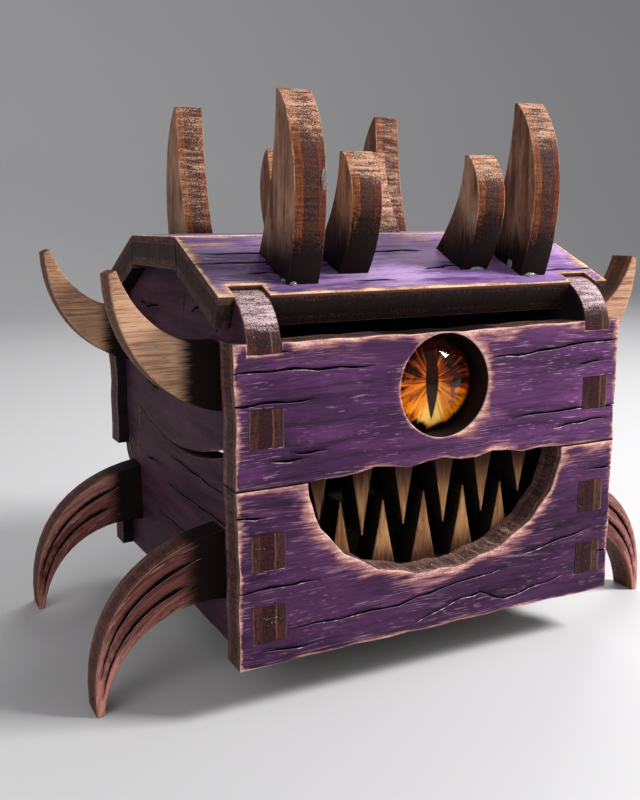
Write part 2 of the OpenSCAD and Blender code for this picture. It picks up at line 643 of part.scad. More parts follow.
// Outline of a top horn with its tenon, drawn as [y, z]. Its outer foot is at p, and its base runs
// inwards from there at angle a.
function horn_outline(p, a, base, h, belly, lean) =
    let (foot = p + [base, base * tan(a)], mid = (p + foot) / 2,
         tip = p + [lean, h], tip_in = tip + [top_tip_w, 0],
         tenon = strip(mid, a, -top_tenon / 2, top_tenon / 2, ply_t, 0))
    concat(bezier(p, p + [-belly, 0.38 * h], p + [0.3 * lean - belly, 0.8 * h], tip),
           bezier(tip_in, tip_in + [0.06 * base, -0.34 * h],
                  foot + [-0.5 * (base - lean), 0.3 * (tip[1] - foot[1])], foot),
           [tenon[2], tenon[1], tenon[0], tenon[3]]);

module top_horn(x, outline) translate([x - ply_t / 2, 0, 0]) sideways(0) polygon(outline);

// The slot of a top horn's tenon, the middle of whose base is at p
module top_slot(x, p, a)
    translate([x - ply_t / 2 - tenon_gap, 0, 0]) sideways(0, ply_t + 2 * tenon_gap)
        polygon(strip(p, a, -top_tenon / 2 - tenon_gap, top_tenon / 2 + tenon_gap, ply_t + cut, cut));

tall_outline = horn_outline(on_slope(tall_in), slope_a, tall_base, tall_h, tall_belly, tall_lean);
tall_back_outline = horn_outline(on_slope(tall_back_in), slope_a, tall_base,
                                 tall_back_h, tall_back_belly, tall_back_lean);
small_outline = horn_outline(on_slope(small_in), slope_a, small_base, small_h, small_belly, small_lean);
crown_outline = horn_outline([small_back_in, crown_z], 0, small_base,
                             small_back_h, small_back_belly, small_back_lean);

// Turns what is drawn for the front round to the back
module at_back() translate([0, box_d, 0]) mirror([0, 1, 0]) children();

module tall_horn_front(s) color(brown) in_place() top_horn(s * tall_x, tall_outline);
module tall_horn_back(s) color(brown) in_place() at_back() top_horn(s * tall_x, tall_back_outline);
module small_horn_front(s) color(brown) in_place() top_horn(s * small_x, small_outline);
module small_horn_back(s) color(brown) in_place() at_back() top_horn(s * small_back_x, crown_outline);

// A slope panel, drawn for the front, with its notches for the side plates' bent corners
module slope_panel(seed) difference() {
    translate([-roof_w / 2, 0, 0]) sideways(0, roof_w) polygon([
        [eave_in, eave_z],
        [eave_in + ply_t * sin(slope_a), eave_z - ply_t * cos(slope_a)],
        [crown_in - roof_gap, slope_z(crown_in - roof_gap) - slope_t],
        [crown_in - roof_gap, slope_z(crown_in - roof_gap)]]);
    for (s = [LEFT, RIGHT])
        translate([s * (side_in + ply_t / 2) - ply_t / 2 - tenon_gap, 0, 0])
            sideways(0, ply_t + 2 * tenon_gap)
                polygon(strip(on_slope(eave_in), slope_a, -cut, strap_notch / cos(slope_a) + tenon_gap,
                              ply_t + cut, cut));
    translate([-roof_w / 2, eave_in, eave_z]) rotate([slope_a, 0, 0]) cracks(slope_cracks, seed);
}

module roof_front() color(purple) in_place() difference() {
    slope_panel(61);
    for (s = [LEFT, RIGHT]) {
        top_slot(s * tall_x, on_slope(tall_in + tall_base / 2), slope_a);
        top_slot(s * small_x, on_slope(small_in + small_base / 2), slope_a);
    }
}

module roof_back() color(purple) in_place() at_back() difference() {
    slope_panel(67);
    for (s = [LEFT, RIGHT])
        top_slot(s * tall_x, on_slope(tall_back_in + tall_base / 2), slope_a);
}

module roof_top() color(purple) in_place() difference() {
    translate([0, crown_in, crown_z - ply_t]) linear_extrude(ply_t) polygon(concat(
        [[-roof_w / 2, 0]],
        [[roof_w / 2, 0]],
        waved([roof_w / 2, 0], [roof_w / 2, box_d - 2 * crown_in], 73),
        [[roof_w / 2, box_d - 2 * crown_in]],
        waved([-roof_w / 2, box_d - 2 * crown_in], [-roof_w / 2, 0], 75)));
    translate([-roof_w / 2, crown_in, crown_z]) cracks(crown_cracks, 71);
    for (s = [LEFT, RIGHT])
        at_back() top_slot(s * small_back_x, [small_back_in + small_base / 2, crown_z], 0);
}

base_front();
base_back();
base_side(LEFT);  // base_side_left
base_side(RIGHT);  // base_side_right
base_floor();
lower_teeth();
hinge_lug(LEFT);  // hinge_lug_left
hinge_lug(RIGHT);  // hinge_lug_right
hinge_pin(LEFT);  // hinge_pin_left
hinge_pin(RIGHT);  // hinge_pin_right
leg(LEFT, limb_in);  // leg_front_left
leg(RIGHT, limb_in);  // leg_front_right
leg(LEFT, box_d - limb_back_in);  // leg_back_left
leg(RIGHT, box_d - limb_back_in);  // leg_back_right
lid_front();
lid_back();
lid_side(LEFT);  // lid_side_left
lid_side(RIGHT);  // lid_side_right
upper_teeth();
eye_glass();
eye_iris();
roof_front();
roof_top();
roof_back();
side_horn(LEFT, limb_in);  // side_horn_front_left
side_horn(RIGHT, limb_in);  // side_horn_front_right
side_horn(LEFT, box_d - limb_back_in, horn_back_up);  // side_horn_back_left
side_horn(RIGHT, box_d - limb_back_in, horn_back_up);  // side_horn_back_right
tall_horn_front(LEFT);  // tall_horn_front_left
tall_horn_front(RIGHT);  // tall_horn_front_right
tall_horn_back(LEFT);  // tall_horn_back_left
tall_horn_back(RIGHT);  // tall_horn_back_right
small_horn_front(LEFT);  // small_horn_front_left
small_horn_front(RIGHT);  // small_horn_front_right
small_horn_back(LEFT);  // small_horn_back_left
small_horn_back(RIGHT);  // small_horn_back_right
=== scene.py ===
"""Looks of the small wooden monster chest: stained and worn plywood plates, the glass eye, drops of
glue, the studio light, the floor and the camera. Names that end in _mm or _MM are in millimetres,
and so are plates while they are dressed and the places p of the zone functions. All other lengths
are in metres."""

import json
import math

import bmesh
import bpy
import numpy as np
from mathutils import Matrix, Vector, noise
from mathutils.bvhtree import BVHTree

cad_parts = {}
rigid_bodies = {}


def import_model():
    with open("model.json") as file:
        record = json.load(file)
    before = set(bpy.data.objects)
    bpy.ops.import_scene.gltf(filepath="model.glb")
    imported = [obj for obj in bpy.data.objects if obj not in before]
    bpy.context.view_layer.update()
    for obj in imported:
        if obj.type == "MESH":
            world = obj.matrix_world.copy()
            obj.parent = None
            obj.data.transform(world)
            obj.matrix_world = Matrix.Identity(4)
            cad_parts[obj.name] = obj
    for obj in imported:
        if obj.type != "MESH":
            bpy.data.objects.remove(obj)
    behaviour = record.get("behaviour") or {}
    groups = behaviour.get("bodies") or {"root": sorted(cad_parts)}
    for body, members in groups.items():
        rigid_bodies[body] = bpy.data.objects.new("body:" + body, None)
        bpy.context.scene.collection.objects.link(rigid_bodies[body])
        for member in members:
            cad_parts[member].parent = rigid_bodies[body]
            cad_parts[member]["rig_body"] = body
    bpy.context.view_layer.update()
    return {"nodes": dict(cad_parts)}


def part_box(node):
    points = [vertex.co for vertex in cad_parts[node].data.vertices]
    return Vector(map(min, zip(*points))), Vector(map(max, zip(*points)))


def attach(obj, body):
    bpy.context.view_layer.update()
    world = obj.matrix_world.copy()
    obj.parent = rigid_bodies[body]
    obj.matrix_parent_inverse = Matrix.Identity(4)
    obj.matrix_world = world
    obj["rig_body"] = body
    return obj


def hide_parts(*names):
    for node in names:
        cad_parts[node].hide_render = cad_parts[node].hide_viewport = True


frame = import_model()

MM = 0.001
X, Y, Z = Vector((1, 0, 0)), Vector((0, 1, 0)), Vector((0, 0, 1))


# ---------------------------------------------------------------- camera, light and floor

CAMERA_PLACE = (-0.0621, -0.1160, 0.0548)
CAMERA_YAW, CAMERA_PITCH, CAMERA_ROLL = 26.84, -10.78, -0.34        # degrees
CAMERA_LENS_MM, CAMERA_SENSOR_MM = 42.27, 36
CAMERA_NEAR, CAMERA_FAR = 0.005, 10

LIT_PLACE = (0, 0, 0.035)                       # the middle of the box, which the lights face
LIGHTS = (("key", (0.22, -0.15, 0.24), 0.09, 1.6),                  # name, place, side, watts
          ("top_back", (0.20, 0.22, 0.34), 0.22, 0.75),
          ("fill", (-0.42, -0.28, 0.22), 0.30, 0.8))
ROOM_COLOUR, ROOM_STRENGTH = (0.86, 0.86, 0.88, 1), 0.40

FLOOR_HALF_W = 3.0
FLOOR_FRONT, FLOOR_BACK = -2.5, 0.45            # where the flat part begins and ends
FLOOR_BEND_R, FLOOR_BEND_STEPS = 0.35, 24
FLOOR_TOP = 0.9                                 # how far the sweep rises behind the box


def make_camera():
    """A camera at the photograph's place, turned from +Y towards +X by the yaw."""
    yaw, pitch, roll = (math.radians(a) for a in (CAMERA_YAW, CAMERA_PITCH, CAMERA_ROLL))
    ahead = Vector((math.sin(yaw) * math.cos(pitch), math.cos(yaw) * math.cos(pitch),
                    math.sin(pitch)))
    level = Vector((math.cos(yaw), -math.sin(yaw), 0))
    above = level.cross(ahead)
    right = level * math.cos(roll) + above * math.sin(roll)
    up = above * math.cos(roll) - level * math.sin(roll)
    data = bpy.data.cameras.new("camera")
    data.lens, data.sensor_width = CAMERA_LENS_MM, CAMERA_SENSOR_MM
    data.clip_start, data.clip_end = CAMERA_NEAR, CAMERA_FAR
    camera = bpy.data.objects.new("camera", data)
    bpy.context.scene.collection.objects.link(camera)
    turn = Matrix((right, up, -ahead)).transposed().to_4x4()
    camera.matrix_world = Matrix.Translation(CAMERA_PLACE) @ turn
    bpy.context.scene.camera = camera


def area_light(name, place, side, watts):
    """A square softbox that faces the box."""
    data = bpy.data.lights.new(name, "AREA")
    data.shape, data.size, data.energy = "SQUARE", side, watts
    light = bpy.data.objects.new(name, data)
    bpy.context.scene.collection.objects.link(light)
    light.location = place
    light.rotation_mode = "QUATERNION"
    light.rotation_quaternion = (Vector(LIT_PLACE) - Vector(place)).to_track_quat("-Z", "Y")


def make_lights():
    """The softboxes, and a pale room round them."""
    for light in LIGHTS:
        area_light(*light)
    world = bpy.data.worlds.new("studio")
    bpy.context.scene.world = world
    world.use_nodes = True
    background = world.node_tree.nodes["Background"]
    background.inputs["Color"].default_value = ROOM_COLOUR
    background.inputs["Strength"].default_value = ROOM_STRENGTH


def make_floor():
    """A pale sweep: a flat floor that curves up behind the box."""
    profile = [(FLOOR_FRONT, 0)]
    for i in range(FLOOR_BEND_STEPS + 1):
        a = math.radians(90 * i / FLOOR_BEND_STEPS)
        profile.append((FLOOR_BACK + FLOOR_BEND_R * math.sin(a), FLOOR_BEND_R * (1 - math.cos(a))))
    profile.append((FLOOR_BACK + FLOOR_BEND_R, FLOOR_TOP))
    bm = bmesh.new()
    rows = [[bm.verts.new((x, y, z)) for x in (-FLOOR_HALF_W, FLOOR_HALF_W)] for y, z in profile]
    for near, far in zip(rows, rows[1:]):
        bm.faces.new((near[0], near[1], far[1], far[0])).smooth = True
    floor = add_object("floor", bm)
    floor.data.materials.append(floor_material())


# ---------------------------------------------------------------- shader building


def srgb(r, g, b):
    """A colour as it is seen, 0 to 255, as the linear colour that a shader takes."""
    def linear(v):
        v = v / 255
        return v / 12.92 if v <= 0.04045 else ((v + 0.055) / 1.055) ** 2.4
    return (linear(r), linear(g), linear(b), 1)


class Shader:
    """One material's nodes. Each method that computes adds nodes and returns their output."""

    def __init__(self, name):
        self.material = bpy.data.materials.new(name)
        self.material.use_nodes = True
        self.tree = self.material.node_tree
        self.surface = self.tree.nodes["Principled BSDF"]

    def feed(self, socket, value):
        """Links an output to a socket, or sets the socket to a plain value."""
        if isinstance(value, bpy.types.NodeSocket):
            self.tree.links.new(value, socket)
        else:
            socket.default_value = value

    def node(self, kind, inputs, output=0, **settings):
        made = self.tree.nodes.new("ShaderNode" + kind)
        for key, value in settings.items():
            setattr(made, key, value)
        for key, value in inputs.items():
            self.feed(made.inputs[key], value)
        return made.outputs[output]

    def attribute(self, name, vector=False):
        return self.node("Attribute", {}, "Vector" if vector else "Fac", attribute_name=name)

    def math(self, operation, a, b=0.0):
        return self.node("Math", {0: a, 1: b}, operation=operation)

    def add(self, a, b):
        return self.math("ADD", a, b)

    def minus(self, a, b):
        return self.math("SUBTRACT", a, b)

    def times(self, a, b):
        return self.math("MULTIPLY", a, b)

    def spread(self, value, width):
        """A noise of 0 to 1 moved to lie about 0, so many times as wide."""
        return self.times(self.minus(value, 0.5), width)

    def vector(self, operation, a, b=(0, 0, 0), output="Vector"):
        return self.node("VectorMath", {0: a, 1: b}, output, operation=operation)

    def noise(self, place, scales, detail=3, shift=0.0, distortion=0.0):
        """Noise with so many features per unit of place along each axis. On a plate these are
        millimetres along the grain, across it and through the plate."""
        moved = self.vector("ADD", self.vector("MULTIPLY", place, scales), (shift,) * 3)
        return self.node("TexNoise", {"Vector": moved, "Scale": 1.0, "Detail": detail,
                                      "Roughness": 0.55, "Distortion": distortion}, "Fac")

    def band(self, value, low, high):
        """0 below low, 1 above high and smooth between."""
        return self.node("MapRange", {"Value": value, "From Min": low, "From Max": high},
                         interpolation_type="SMOOTHSTEP", clamp=True)

    def under(self, value, low, high):
        """1 below low, 0 above high and smooth between."""
        return self.minus(1.0, self.band(value, low, high))

    def mix(self, factor, a, b):
        """Colour a where factor is 0 and b where it is 1. A colour Mix takes them in 0, 6 and 7."""
        made = self.tree.nodes.new("ShaderNodeMix")
        made.data_type = "RGBA"
        for socket, value in ((0, factor), (6, a), (7, b)):
            self.feed(made.inputs[socket], value)
        return made.outputs[2]

    def bump(self, height, strength, distance_mm):
        inputs = {"Height": height, "Strength": strength, "Distance": distance_mm * MM}
        self.feed(self.surface.inputs["Normal"], self.node("Bump", inputs, "Normal"))

    def finish(self, **sockets):
        """Feeds the surface's sockets, whose names have _ for a space, and gives the material."""
        for name, value in sockets.items():
            self.feed(self.surface.inputs[name.replace("_", " ")], value)
        return self.material


def floor_material():
    s = Shader("pale_floor")
    cloud = s.noise(s.node("TexCoord", {}, "Object"), (6, 6, 6), 2)
    colour = s.mix(cloud, srgb(196, 195, 196), srgb(204, 203, 204))
    return s.finish(Base_Color=colour, Roughness=0.75)


# ---------------------------------------------------------------- wood

# Stains as seen, 0 to 255: dark to light are the stain, fleck its rubbed fibres, burnt the brown
# beside a worn edge, bare and pale the wood of that edge.
PURPLE = {"dark": (44, 22, 46), "mid": (73, 39, 77), "light": (100, 56, 100),
          "fleck": (168, 126, 154), "burnt": (92, 44, 60), "bare": (154, 104, 104),
          "pale": (222, 178, 164)}
ROOF = {"dark": (72, 48, 90), "mid": (116, 86, 134), "light": (166, 136, 176),
        "fleck": (198, 168, 200), "burnt": (112, 68, 76), "bare": (172, 126, 104),
        "pale": (236, 204, 174)}
SIDE = {"dark": (36, 19, 28), "mid": (60, 33, 47), "light": (78, 47, 63),
        "fleck": (96, 64, 76), "burnt": (50, 29, 31), "bare": (84, 56, 52),
        "pale": (128, 94, 82)}
HORN = {"dark": (120, 82, 62), "mid": (182, 138, 110), "light": (214, 172, 138),
        "fleck": (226, 188, 154), "burnt": (120, 80, 58), "bare": (158, 110, 82),
        "pale": (222, 180, 148)}
TALL = {"dark": (72, 46, 36), "mid": (120, 84, 66), "light": (172, 136, 112),
        "fleck": (186, 152, 124), "burnt": (84, 50, 36), "bare": (140, 88, 58),
        "pale": (198, 150, 116)}
LEG = {"dark": (64, 35, 34), "mid": (128, 76, 68), "light": (178, 120, 110),
       "fleck": (196, 150, 138), "burnt": (80, 46, 42), "bare": (140, 92, 72),
       "pale": (190, 144, 120)}
TOOTH = {"dark": (98, 58, 38), "mid": (160, 112, 72), "light": (200, 154, 104),
         "fleck": (214, 172, 124), "burnt": (96, 54, 36), "bare": (150, 104, 68),
         "pale": (204, 160, 112)}
PLAIN = {"dark": (50, 35, 27), "mid": (76, 55, 41), "light": (92, 68, 52),
         "fleck": (104, 80, 62), "burnt": (60, 40, 30), "bare": (84, 60, 46),
         "pale": (128, 100, 78)}
# near-black of soot, used also for painted shade
SOOT_AND_SHADE = (22, 11, 11)
TOOTH_SOOT = (66, 36, 28)
# a plate's inner side: a dark stain, darkened further as painted shade of the closed box's inside
INSIDE_STAIN_AND_SHADE = ((18, 11, 15), (30, 19, 26))           # dark and light tone of a plate's inner side

# Where the three plies meet, as shares of the plate's thickness, and the glue lines there.
NEAR_TO_CORE, CORE_TO_FAR = (0.29, 0.33), (0.67, 0.71)
NEAR_GLUE, FAR_GLUE = 0.30, 0.71


def face_material(name, tones, light, flecks, streaks=1.0, inside=None, fibre_mm=0.14,
                  wave_mm=2.5, streak_mm=1.2, specular=0.12, soot_tone=SOOT_AND_SHADE):
    """The flat side of a stained plate: fibres, streaks and clouds of stain, worn to bare wood in
    ragged patches along its outline, dark round the engraved cracks and near-black where the char
    attribute says so, for soot and for painted shade. light, flecks and streaks are how strong the
    light clouds, the rubbed fibres and the dark pores are, and wave_mm is how far the fibres wander
    across the grain. Above 0 the fade attribute makes the colour lighter and below 0 darker: a
    thinner or thicker stain, and painted light and shade."""
    s = Shader(name)
    tone = {key: srgb(*value) for key, value in tones.items()}
    edge, crack, soot_and_shade = s.attribute("edge_d"), s.attribute("crk"), s.attribute("soot_and_shade")
    g = s.attribute("gr", vector=True)
    wander = s.spread(s.noise(g, (0.035, 0.10, 0.10), 2, 91), wave_mm)
    g = s.vector("ADD", g, s.node("CombineXYZ", {"Y": wander}))
    across, stripe = 1 / fibre_mm, 1 / streak_mm
    fibre = s.noise(g, (0.40, across, across), 3)
    streak = s.noise(g, (0.06, stripe, stripe), 4, 11, 0.3)
    cloud = s.noise(g, (0.06, 0.14, 0.14), 3, 23)
    patch = s.noise(g, (0.13, 0.30, 0.30), 2, 37)
    tatter = s.noise(g, (0.28, 2.0, 2.0), 4, 43)
    dashes = s.noise(g, (0.26, across, across), 2, 53)
    breaks = s.noise(g, (0.9, 2.0, 2.0), 2, 61)
    pores = s.noise(g, (0.60, across * 0.9, across * 0.9), 2, 71)
    speck = s.noise(g, (3.5, 5.0, 5.0), 2, 79)

    # the stain
    grain = s.add(s.times(streak, 0.6), s.times(fibre, 0.4))
    colour = s.mix(s.band(grain, 0.34, 0.58), tone["dark"], tone["mid"])
    lift = s.add(s.times(cloud, 0.7), s.times(streak, 0.3))
    colour = s.mix(s.times(s.band(lift, 0.44, 0.62), light), colour, tone["light"])
    colour = s.mix(s.times(s.band(pores, 0.56, 0.66), 0.45 * streaks), colour, tone["dark"])
    fleck = s.times(s.band(dashes, 0.57, 0.66), s.band(breaks, 0.46, 0.58))
    fleck = s.times(fleck, s.band(patch, 0.38, 0.54))
    colour = s.mix(s.times(fleck, flecks), colour, tone["fleck"])
    # lighter or darker: a thinner or thicker stain, and painted light and shade
    amount = s.add(s.attribute("stain_and_light"), 1.0)
    amounts = s.node("CombineXYZ", {"X": amount, "Y": amount, "Z": amount})
    colour = s.vector("MULTIPLY", colour, amounts)

    # the worn outline: rubbed fibres, then a brown border, then bare wood
    brushed = s.times(s.under(edge, 0.3, 2.6), s.band(dashes, 0.52, 0.62))
    brushed = s.times(brushed, s.band(patch, 0.38, 0.60))
    colour = s.mix(s.times(brushed, 0.65), colour, tone["fleck"])
    reach = s.add(0.22, s.times(s.band(patch, 0.34, 0.70), 0.70))
    depth = s.add(s.math("DIVIDE", edge, reach), s.spread(tatter, -2.6))
    depth = s.add(depth, s.spread(fibre, -1.8))
    colour = s.mix(s.times(s.under(depth, 0.8, 1.9), 0.40), colour, tone["burnt"])
    worn = s.under(depth, 0.45, 1.25)
    spotted = s.add(depth, s.spread(speck, 1.4))
    wood = s.mix(s.band(spotted, -0.35, 0.60), tone["pale"], tone["bare"])
    colour = s.mix(worn, colour, wood)

    # the cracks' dark borders, the inner side, and the soot and painted shade
    colour = s.mix(s.times(s.under(crack, 0.0, 0.30), 0.55), colour, tone["dark"])
    # the inner side's tones are a dark stain and painted shade of the box's inside
    if inside:
        plain = s.mix(s.band(grain, 0.40, 0.60), srgb(*inside[0]), srgb(*inside[1]))
        colour = s.mix(s.under(s.attribute("ply"), 0.02, 0.04), colour, plain)
    # near-black: soot, and painted shade along the seam and at the roots of legs and side horns
    soot = s.add(s.add(soot_and_shade, s.spread(fibre, 0.5)), s.spread(streak, 0.5))
    colour = s.mix(s.band(soot, 0.25, 0.75), colour, srgb(*soot_tone))
    s.bump(s.add(s.times(fibre, 0.7), s.times(pores, -0.5)), 0.3, 0.10)
    return s.finish(Base_Color=colour, Roughness=0.6, Specular_IOR_Level=specular)


def cut_material(name, near, core, pale, far=None, warm=None, line=(FAR_GLUE, None),
                 arris=(0.05, 0.05), specular=0.12):
    """The sawn edge of a plate: a face ply on either side of a darker core ply, with scorched
    ticks across. near, core and far are (light, dark); near is the ply at the inner side, far the
    one at the outer. pale is the light corners' tone and arris how much of the edge's width they
    take, inner and outer. warm is the brown below the outer one where the edge is scorched. line
    is the depth and tone of one more glue line; no tone means the core's dark one. The scorch
    attribute darkens the edge above 0 and makes it pale below 0: rubbed wood, and on the small
    back horns a painted highlight. The char attribute darkens it too, with soot and painted shade."""
    s = Shader(name)
    far = far or near
    g, ply = s.attribute("gr", vector=True), s.attribute("ply")
    soot_and_shade, scorch = s.attribute("soot_and_shade"), s.attribute("scorch")
    level = s.add(ply, s.spread(s.noise(g, (0.5, 0.5, 0.0), 2, 5), 0.10))
    grit = s.noise(g, (3.4, 3.4, 5.0), 3, 17)
    speck = s.noise(g, (8.0, 8.0, 8.0), 2, 83)
    tick = s.noise(g, (2.6, 2.6, 0.35), 3, 29)
    patch = s.noise(g, (0.35, 0.35, 0.5), 3, 41)
    layer = s.noise(g, (0.5, 0.5, 7.0), 3, 59)

    # the plies, their ticks and the glue between them
    in_sides = s.band(s.times(s.add(tick, layer), 0.5), 0.42, 0.60)
    in_core = s.band(s.times(s.add(grit, tick), 0.5), 0.42, 0.60)

    def ply_colour(pair, share):
        return s.mix(share, srgb(*pair[1]), srgb(*pair[0]))

    past_near, past_core = s.band(level, *NEAR_TO_CORE), s.band(level, *CORE_TO_FAR)
    colour = s.mix(past_near, ply_colour(near, in_sides), ply_colour(core, in_core))
    colour = s.mix(past_core, colour, ply_colour(far, in_sides))
    colour = s.mix(s.times(s.band(tick, 0.56, 0.66), 0.6), colour, srgb(*core[1]))
    for at, tone in ((NEAR_GLUE, None), (FAR_GLUE, None), line):
        glue = s.times(s.band(level, at - 0.03, at), s.under(level, at + 0.01, at + 0.04))
        colour = s.mix(s.times(glue, 0.7), colour, srgb(*(tone or core[1])))
    colour = s.mix(s.times(s.band(patch, 0.48, 0.66), 0.5), colour, srgb(*near[1]))

    # rubbed pale or charred; the pale also paints highlights and the dark also paints shade where
    # the zones ask for it
    rubbed = s.add(s.times(scorch, -1.0), s.spread(speck, 1.5))
    rubbed = s.add(rubbed, s.spread(tick, -1.2))
    colour = s.mix(s.times(s.band(rubbed, 0.25, 0.80), 0.9), colour, srgb(*pale))
    for share in (soot_and_shade, scorch):
        soot = s.band(s.add(share, s.spread(grit, 0.7)), 0.35, 0.65)
        colour = s.mix(soot, colour, srgb(*SOOT_AND_SHADE))

    # the light corners
    ragged = s.add(s.times(grit, 0.9), 0.5)
    from_far = s.minus(1.0, ply)
    if warm:
        below = s.under(from_far, arris[1], s.times(ragged, 3.2 * arris[1]))
        below = s.times(below, s.band(scorch, 0.2, 0.6))
        colour = s.mix(s.times(below, 0.8), colour, srgb(*warm))
    for depth, width in ((ply, arris[0]), (from_far, arris[1])):
        corner = s.under(depth, width * 0.3, s.times(ragged, width))
        colour = s.mix(s.times(corner, 0.75), colour, srgb(*pale))
    s.bump(s.add(grit, s.times(tick, 0.8)), 0.4, 0.10)
    return s.finish(Base_Color=colour, Roughness=0.65, Specular_IOR_Level=specular)


def groove_material():
    """The scorched inside of an engraved crack."""
    s = Shader("engraved_crack")
    grit = s.noise(s.attribute("gr", vector=True), (1.2, 5, 5), 3)
    colour = s.mix(s.band(grit, 0.4, 0.62), srgb(9, 5, 9), srgb(26, 16, 22))
    return s.finish(Base_Color=colour, Roughness=0.85, Specular_IOR_Level=0.1)


def lip_highlight_material(name, tone, bare):
    """The lower lip of a crack or a slot, which faces up: chipped bare wood with stain left between
    the chips, pale also as a painted highlight of the light from above.
    """
    s = Shader(name)
    g = s.attribute("gr", vector=True)
    chips = s.noise(g, (1.1, 1.1, 1.1), 3, 13)
    runs = s.noise(g, (0.2, 0.2, 0.2), 2, 31)
    worn = s.times(s.band(chips, 0.44, 0.64), s.band(runs, 0.46, 0.58))
    return s.finish(Base_Color=s.mix(worn, srgb(*tone), srgb(*bare)), Roughness=0.6)


def make_materials():
    """(face, cut edge, crack, lip) of each kind of plate."""
    crack = groove_material()
    purple_lip_highlight = lip_highlight_material("purple_lip_highlight", PURPLE["mid"], (196, 164, 182))
    brown_lip_highlight = lip_highlight_material("brown_lip_highlight", LEG["mid"], (176, 130, 118))
    side_lip = lip_highlight_material("side_lip", SIDE["mid"], (112, 86, 84))

    front_cut = cut_material("charred_cut", ((122, 88, 78), (64, 42, 42)),
                             ((92, 64, 60), (40, 25, 28)), (204, 164, 144), arris=(0.03, 0.07))
    roof_cut = cut_material("roof_cut", ((94, 68, 60), (52, 36, 34)), ((68, 47, 44), (33, 22, 23)),
                            (228, 190, 156), warm=(112, 62, 36), arris=(0.02, 0.05))
    left_cut, right_cut = (
        cut_material(name, ((76, 40, 36), (38, 19, 22)), ((62, 24, 27), (30, 12, 16)),
                     (206, 178, 182), far=((86, 52, 42), (42, 23, 25)), line=(at, (116, 72, 52)),
                     arris=(0.03, 0.03))
        for name, at in (("side_cut_left", 0.29), ("side_cut_right", FAR_GLUE)))
    horn_cut = cut_material("horn_cut", ((140, 96, 72), (92, 60, 46)),
                            ((112, 78, 60), (66, 43, 37)), (212, 168, 138), arris=(0.06, 0.06))
    top_cut = cut_material("top_horn_cut", ((142, 80, 46), (84, 44, 29)),
                           ((82, 52, 42), (46, 27, 24)), (210, 164, 134),
                           far=((112, 54, 34), (54, 27, 24)), arris=(0.03, 0.03), specular=0.08)
    leg_cut = cut_material("leg_cut", ((128, 84, 70), (76, 48, 43)), ((104, 68, 58), (56, 36, 35)),
                           (190, 142, 116))
    # the teeth's cut edges near-black: painted shade, as they lie in the dark of the mouth
    shaded_tooth_cut = cut_material("shaded_tooth_cut", ((30, 20, 16), (16, 11, 10)), ((22, 15, 13), (12, 9, 8)),
                             (150, 108, 72), arris=(0.02, 0.04))
    plain_cut = cut_material("plain_cut", ((80, 58, 44), (48, 34, 27)),
                             ((58, 42, 33), (32, 23, 20)), (120, 92, 70), arris=(0.03, 0.03))

    side_face = face_material("dark_stain", SIDE, 0.5, 0.2, inside=INSIDE_STAIN_AND_SHADE)
    front_face = face_material("purple_stain", PURPLE, 0.6, 0.7, 1.2, inside=INSIDE_STAIN_AND_SHADE)
    roof_face = face_material("lilac_stain", ROOF, 0.7, 0.5, inside=INSIDE_STAIN_AND_SHADE, specular=0.05)
    horn_face = face_material("tan_stain", HORN, 0.7, 0.5, 1.5, fibre_mm=0.11, streak_mm=0.35)
    top_face = face_material("brown_stain", TALL, 0.8, 0.4, 1.2, fibre_mm=0.2, wave_mm=1.5,
                             streak_mm=0.9)
    leg_face = face_material("leg_stain", LEG, 0.9, 0.9, 1.4, wave_mm=1.0, streak_mm=0.5)
    tooth_face = face_material("tooth_stain", TOOTH, 0.7, 0.4, 1.2, wave_mm=0.6, streak_mm=0.6,
                               soot_tone=TOOTH_SOOT)
    plain_face = face_material("plain_wood", PLAIN, 0.5, 0.2)
    return {
        "purple": (front_face, front_cut, crack, purple_lip_highlight),
        "roof": (roof_face, roof_cut, crack, purple_lip_highlight),
        "side_left": (side_face, left_cut, crack, side_lip),
        "side_right": (side_face, right_cut, crack, side_lip),
        "side_horn": (horn_face, horn_cut, crack, brown_lip_highlight),
        "top_horn": (top_face, top_cut, crack, brown_lip_highlight),
        "leg": (leg_face, leg_cut, crack, brown_lip_highlight),
        "tooth": (tooth_face, shaded_tooth_cut, crack, brown_lip_highlight),
        "plain": (plain_face, plain_cut, crack, brown_lip_highlight),
    }


# ---------------------------------------------------------------- dressed plates

FACE, CUT, CRACK, LIP = 0, 1, 2, 3      # a dressed plate's material slots
ARRIS_MM, LIP_MM = 0.13, 0.06           # widths of a rubbed corner and of a chipped lip
GRID_MM, FINE_GRID_MM, TOOTH_GRID_MM = 0.8, 0.6, 0.5
GRID_SHIFT = 0.37                       # keeps the grid off the plates' own lines, in grid steps
ENGRAVING_MM = 0.7                      # a wall lower than this belongs to an engraved crack
SLOT_MM = 9.5                           # a loop smaller than this is a slot for a tenon
SURFACE_MM = 0.05                       # a face nearer than this to a plate's side lies in it
SHORTEST_LIP_MM = 0.2
MERGE_MM, STRAIGHT_DEGREES = 0.002, 0.3
SHARP_DEGREES = 32
FARTHEST_MM = 99.0                      # the distance to a crack on a plate that has none
GRAIN_SEEDS, GRAIN_JUMP_MM = 97, 3.7    # each plate takes its grain from another place


def add_object(name, bm):
    """Makes an object of a bmesh whose vertices are in metres."""
    mesh = bpy.data.meshes.new(name)
    bm.to_mesh(mesh)
    bm.free()
    made = bpy.data.objects.new(name, mesh)
    bpy.context.scene.collection.objects.link(made)
    return made


